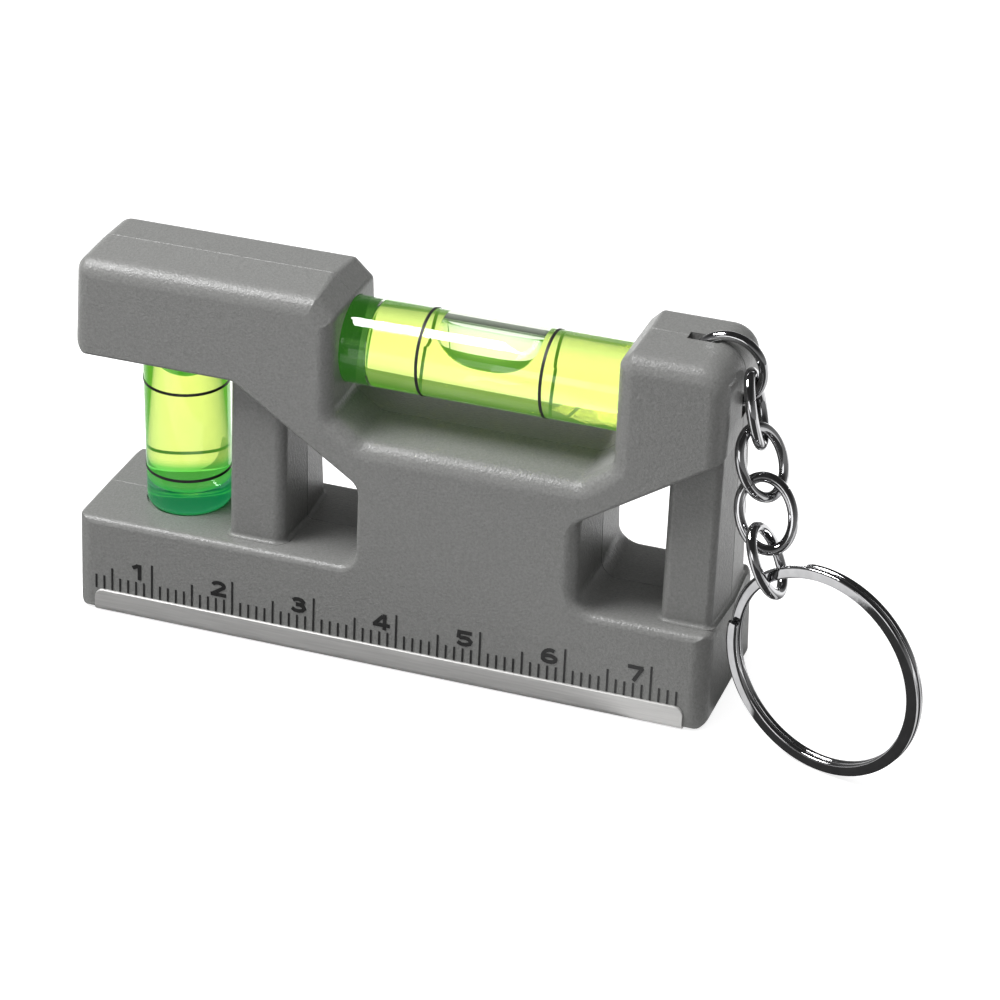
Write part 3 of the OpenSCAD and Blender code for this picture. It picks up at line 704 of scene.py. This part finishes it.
def frame_of(tilt, swing, twist):
    """Axes of a loop that is twisted about z, tilted about x and swung about y, in this order."""
    t, s, w = (math.radians(v) for v in (tilt, swing, twist))
    rows = []
    for v in ((math.cos(w), math.sin(w), 0), (-math.sin(w), math.cos(w), 0), (0, 0, 1)):
        p = (v[0], v[1] * math.cos(t) - v[2] * math.sin(t), v[1] * math.sin(t) + v[2] * math.cos(t))
        rows.append((p[0] * math.cos(s) + p[2] * math.sin(s), p[1], p[2] * math.cos(s) - p[0] * math.sin(s)))
    return np.array(rows)


def loop_point(axes, a, b, t):
    return a * math.cos(t) * axes[0] + b * math.sin(t) * axes[2]


def loop_tangent(axes, a, b, t):
    return unit(b * math.cos(t) * axes[2] - a * math.sin(t) * axes[0])


def hang(up, axes, a, b, wire, gap, t_up, t_own):
    """Loop (middle, axes, a, b, wire) that hangs in the loop up."""
    t_up, t_own = math.radians(t_up), math.radians(t_own)
    p = up[0] + loop_point(up[1], up[2], up[3], t_up)
    d = unit(np.cross(loop_tangent(up[1], up[2], up[3], t_up), loop_tangent(axes, a, b, t_own)))
    inward = d if d @ (up[0] - p) > 0 else -d
    return (p + ((up[4] + wire) / 2 + gap) * inward - loop_point(axes, a, b, t_own), axes, a, b, wire)


def make_loop(node, loop, joint, steps=120, sides=20):
    """Round wire bent to a loop. Its two ends meet in a fine butt joint."""
    middle, axes, a, b, wire = loop
    angles = list(turns(steps))
    if joint is not None:
        at, width = math.radians(joint), JOINT_GAP / b
        angles = [t for t in angles if abs(t - at) > 0.02]
        angles = sorted(angles + [at - width, at - width / 3, at + width / 3, at + width])
    centres, frames, sections = [], [], []
    for t in angles:
        closed_in = joint is not None and abs(t - at) < width / 2
        r = wire / 2 - (JOINT_DEPTH if closed_in else 0.0)
        centres.append(middle + loop_point(axes, a, b, t))
        frames.append((np.cross(axes[1], loop_tangent(axes, a, b, t)), axes[1]))
        sections.append([(r * math.cos(s), r * math.sin(s)) for s in turns(sides)])
    piece = sweep("wire_" + node, centres, frames, sections, CHAIN)
    finish_piece(piece, node, node, 50)


def flat_section(w, h, power=3.2, count=36):
    """Flat wire w broad and h thick with round edges and slightly crowned faces."""
    def bent(v):
        return math.copysign(abs(v) ** (2 / power), v)
    return [(w / 2 * bent(math.cos(t)), h / 2 * bent(math.sin(t))) for t in turns(count)]


def make_split_ring(loop, steps=300):
    """Two turns of flat wire that lie on each other and change places in one short step."""
    middle, axes, r = loop[:3]
    first, last = SPLIT_ENDS
    pitch = SPLIT_TURN + SPLIT_SEAM
    centres, frames, sections = [], [], []
    for t in np.linspace(first, last, steps):
        s = min(max((t - 360 + SPLIT_STEP / 2) / SPLIT_STEP, 0), 1)
        side = pitch * (s * s * (3 - 2 * s) - 0.5)
        angle = math.radians(SPLIT_FROM + t)
        tangent = loop_tangent(axes, r, r, angle)
        bevel = END_BEVEL * max(0.0, 1 - min(t - first, last - t) / END_BEVEL_SPAN)
        centres.append(middle + loop_point(axes, r, r, angle) + side * axes[1])
        frames.append((unit(np.cross(axes[1], tangent)), axes[1]))
        sections.append(flat_section(SPLIT_T - SPLIT_SEAM - bevel, SPLIT_TURN - bevel))
    piece = sweep("wire_split_ring", centres, frames, sections, CHAIN, closed=False)
    finish_piece(piece, "split_ring", "split_ring", 32)


def make_chain():
    loop = (JUMP_AT, frame_of(0, 0, 0), JUMP_R, JUMP_R, JUMP_WIRE)
    make_loop("jump_ring", loop, None)
    for i, (tilt, swing, twist, t_up, t_own) in enumerate(LINKS):
        loop = hang(loop, frame_of(tilt, swing, twist), LINK_A, LINK_B, LINK_WIRE, WIRE_GAP, t_up, t_own)
        make_loop("chain_link_%d" % (i + 1), loop, JOINTS_AT[i])
    r = SPLIT_D / 2 - SPLIT_T / 2
    make_split_ring(hang(loop, frame_of(*SPLIT_HANG[:3]), r, r, SPLIT_T, SPLIT_GAP, *SPLIT_HANG[3:]))


def finish_cad_nodes():
    """Materials of the parts that stay as the part has them."""
    kept = {"scale_ticks": PRINT, "scale_numerals": PRINT, "horizontal_ring_left": PRINT,
            "horizontal_ring_right": PRINT, "vertical_ring_upper": PRINT, "vertical_ring_lower": PRINT,
            "magnet_bar": MAGNET}
    for node, material in kept.items():
        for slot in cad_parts[node].material_slots:
            slot.material = material


# Stage: pale floor, white surroundings and soft lights. Places in millimetres, turns in degrees.
# Camera rays see a white floor and world. For glossy rays the floor is dark in front of FLOOR_FRONT, apart
# from a number of pale sectors round the key chain. This dark front and these pale sectors are painted
# reflections, since only glossy rays see them. Glossy and transmission rays see SKY_LEVELS in the world, and
# all other rays SKY_DIFFUSE. SKY_TURN and SKY_DIFFUSE_TURN are the z of the ray's direction where the level
# starts and stops to change.
FLOOR_TONE = 0.50
FLOOR_GLOW = 0.80
FLOOR_SIZE = 900
FLOOR_FRONT = (-10, 50)
FLOOR_FRONT_SHARE = 0.03
# Pale sectors on the floor that only glossy rays see: painted reflections in the key chain
PAINTED_SECTORS, SECTOR_TURN, SECTOR_EDGE, SECTOR_MIDDLE, SECTOR_LEVEL = 3, 12, (0.6, 0.8), 45, 0.65
SKY_DIFFUSE = (0.06, 1.0)
SKY_DIFFUSE_TURN = (0.2, 1.0)
SKY_LEVELS = (0.25, 0.03)
SKY_TURN = (0.05, 0.6)
# Each lamp: place, size, power in watts, and the point that it faces
KEY = (-345, -130, 540), (300, 240), 6.2, (-345, -129, 0)
FILL = (-60, -500, 160), (300, 160), 0.25, (0, 0, 20)


def tree_helpers(tree):
    """Two functions that add a math node and a smooth ramp from a0..a1 to b0..b1 to the tree."""
    def math_node(kind, a, b=None):
        node = tree.nodes.new("ShaderNodeMath")
        node.operation = kind
        for socket, value in zip(node.inputs, (a, b)):
            if value is None:
                continue
            if isinstance(value, (int, float)):
                socket.default_value = value
            else:
                tree.links.new(value, socket)
        return node.outputs[0]

    def ramp_node(value, a0, a1, b0, b1):
        node = tree.nodes.new("ShaderNodeMapRange")
        node.interpolation_type = "SMOOTHSTEP"
        tree.links.new(value, node.inputs["Value"])
        for name, v in (("From Min", a0), ("From Max", a1), ("To Min", b0), ("To Max", b1)):
            node.inputs[name].default_value = v
        return node.outputs["Result"]
    return math_node, ramp_node


def seen_rays(tree, math_node):
    """The light path node, and 1 for camera, transmission and glossy rays.

    It is 0 after a dull bounce, so light that reaches a dull surface through a clear part isn't counted.
    """
    path = tree.nodes.new("ShaderNodeLightPath")
    clear = math_node("MAXIMUM", path.outputs["Is Camera Ray"], path.outputs["Is Transmission Ray"])
    shows = math_node("MAXIMUM", clear, path.outputs["Is Glossy Ray"])
    direct = math_node("SUBTRACT", 1.0, math_node("MINIMUM", path.outputs["Diffuse Depth"], 1.0))
    return path, math_node("MULTIPLY", shows, direct)


def floor_share(m, at, math_node, ramp_node):
    """Brightness of the floor by place, as glossy rays see it: dark in front, with pale sectors. Both are
    painted reflections.
    """
    place = m.add("ShaderNodeSeparateXYZ")
    m.link(at, place.inputs[0])
    behind = ramp_node(place.outputs["Y"], *FLOOR_FRONT, FLOOR_FRONT_SHARE, 1.0)
    aside = math_node("SUBTRACT", place.outputs["X"], SECTOR_MIDDLE)
    angle = math_node("ADD", math_node("ARCTAN2", place.outputs["Y"], aside), math.radians(SECTOR_TURN))
    painted_sector = ramp_node(math_node("COSINE", math_node("MULTIPLY", angle, PAINTED_SECTORS)), *SECTOR_EDGE, 0.0, SECTOR_LEVEL)
    return math_node("MAXIMUM", behind, painted_sector)


def make_floor():
    m = Nodes("floor")
    m.set(Roughness=0.9, Specular_IOR_Level=0.1, Emission_Color=(1, 1, 1, 1))
    math_node, ramp_node = tree_helpers(m.tree)
    path, seen = seen_rays(m.tree, math_node)
    at = m.coords()
    dull = math_node("SUBTRACT", 1.0, path.outputs["Is Glossy Ray"])
    shown = math_node("MAXIMUM", floor_share(m, at, math_node, ramp_node), dull)
    mottled = math_node("ADD", math_node("MULTIPLY", m.noise(at, 0.01), 0.02), FLOOR_TONE)
    glow = math_node("MULTIPLY", math_node("MULTIPLY", seen, shown), FLOOR_GLOW)
    m.link(math_node("MULTIPLY", shown, mottled), m.shader.inputs["Base Color"])
    m.link(glow, m.shader.inputs["Emission Strength"])
    corners = [(x * FLOOR_SIZE, y * FLOOR_SIZE, 0) for x, y in ((-1, -1), (1, -1), (1, 1), (-1, 1))]
    new_piece("floor", corners, [(0, 1, 2, 3)], m.material)


def make_world():
    world = bpy.data.worlds.new("studio")
    world.use_nodes = True
    bpy.context.scene.world = world
    tree = world.node_tree
    math_node, ramp_node = tree_helpers(tree)
    path, seen = seen_rays(tree, math_node)
    place = tree.nodes.new("ShaderNodeTexCoord")
    split = tree.nodes.new("ShaderNodeSeparateXYZ")
    tree.links.new(place.outputs["Generated"], split.inputs[0])
    studio = ramp_node(split.outputs["Z"], *SKY_TURN, *SKY_LEVELS)
    shown = math_node("MAXIMUM", studio, path.outputs["Is Camera Ray"])
    overhead = ramp_node(split.outputs["Z"], *SKY_DIFFUSE_TURN, *SKY_DIFFUSE)
    level = math_node("ADD", math_node("MULTIPLY", shown, seen),
                      math_node("MULTIPLY", math_node("SUBTRACT", 1.0, seen), overhead))
    tree.links.new(level, tree.nodes["Background"].inputs["Strength"])
    tree.nodes["Background"].inputs["Color"].default_value = (1, 1, 1, 1)


def make_lamp(name, at, size, power, target):
    data = bpy.data.lights.new(name, "AREA")
    data.shape = "RECTANGLE"
    data.size, data.size_y = size[0] * MM, size[1] * MM
    data.energy = power
    lamp = bpy.data.objects.new(name, data)
    direction = (Vector(target) - Vector(at)).normalized()
    turn = direction.to_track_quat("-Z", "Y").to_matrix().to_4x4()
    lamp.matrix_world = Matrix.Translation(Vector(at) * MM) @ turn
    bpy.context.scene.collection.objects.link(lamp)


make_body()
make_channel()
make_level_vial()
make_plumb_vial()
make_chain()
finish_cad_nodes()
make_floor()
make_world()
make_lamp("key", *KEY)
make_lamp("fill", *FILL)
bpy.context.scene.view_settings.view_transform = "Standard"
